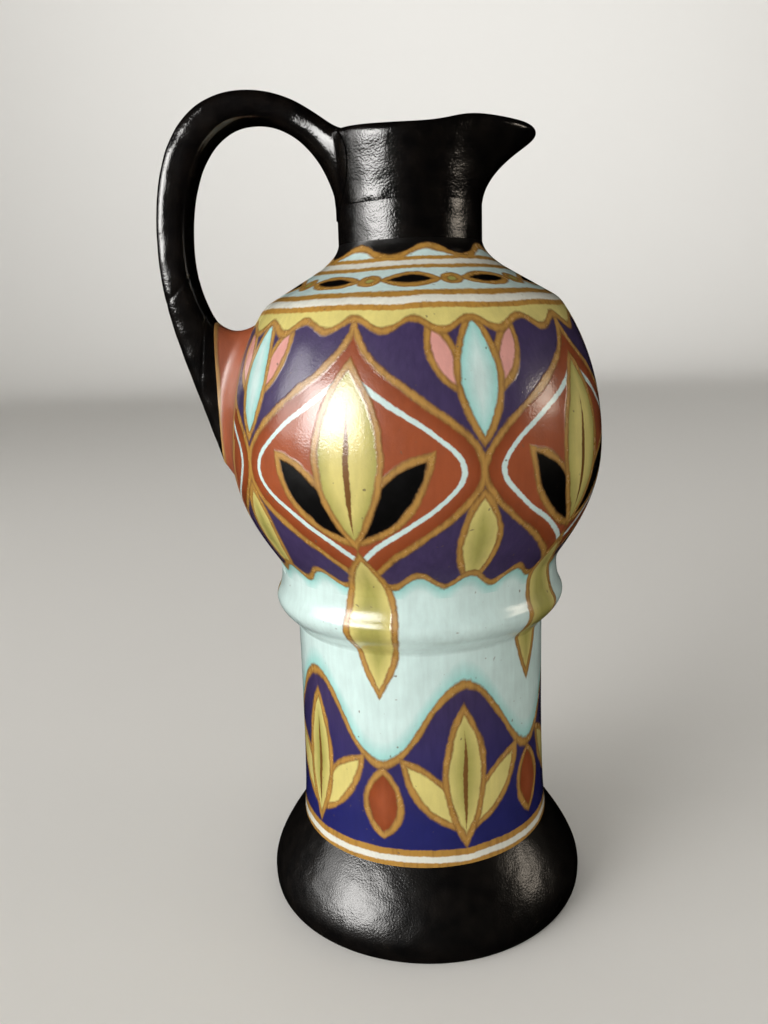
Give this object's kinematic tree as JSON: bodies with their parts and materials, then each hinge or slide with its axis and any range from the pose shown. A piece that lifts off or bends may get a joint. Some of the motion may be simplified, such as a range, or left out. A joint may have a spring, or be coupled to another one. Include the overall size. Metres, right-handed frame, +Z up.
{
  "type": "earthenware jug",
  "caption": "Hollow earthenware jug with a flared foot, straight lower body, bead round the waist, round belly, short neck with a pinched pouring lip and a loop handle.",
  "frame": {"origin": "centre of the flat base, on the turning axis", "axes": "+Z up along the turning axis, +X towards the spout, the handle on -X"},
  "size_m": [0.1081, 0.0926, 0.2036],
  "materials": {
    "black_glaze": "satin black glaze",
    "indigo_glaze": "satin painted glaze, indigo ground",
    "mint_glaze": "satin painted glaze, pale mint ground",
    "rust_glaze": "satin painted glaze, rust ground"
  },
  "bodies": {
    "root": {"foot": "black_glaze", "lower_body": "indigo_glaze", "waist_cordon": "mint_glaze", "belly": "rust_glaze", "neck": "black_glaze", "spout_lip": "black_glaze", "handle": "black_glaze", "handle_root": "rust_glaze"}
  },
  "joints": []
}
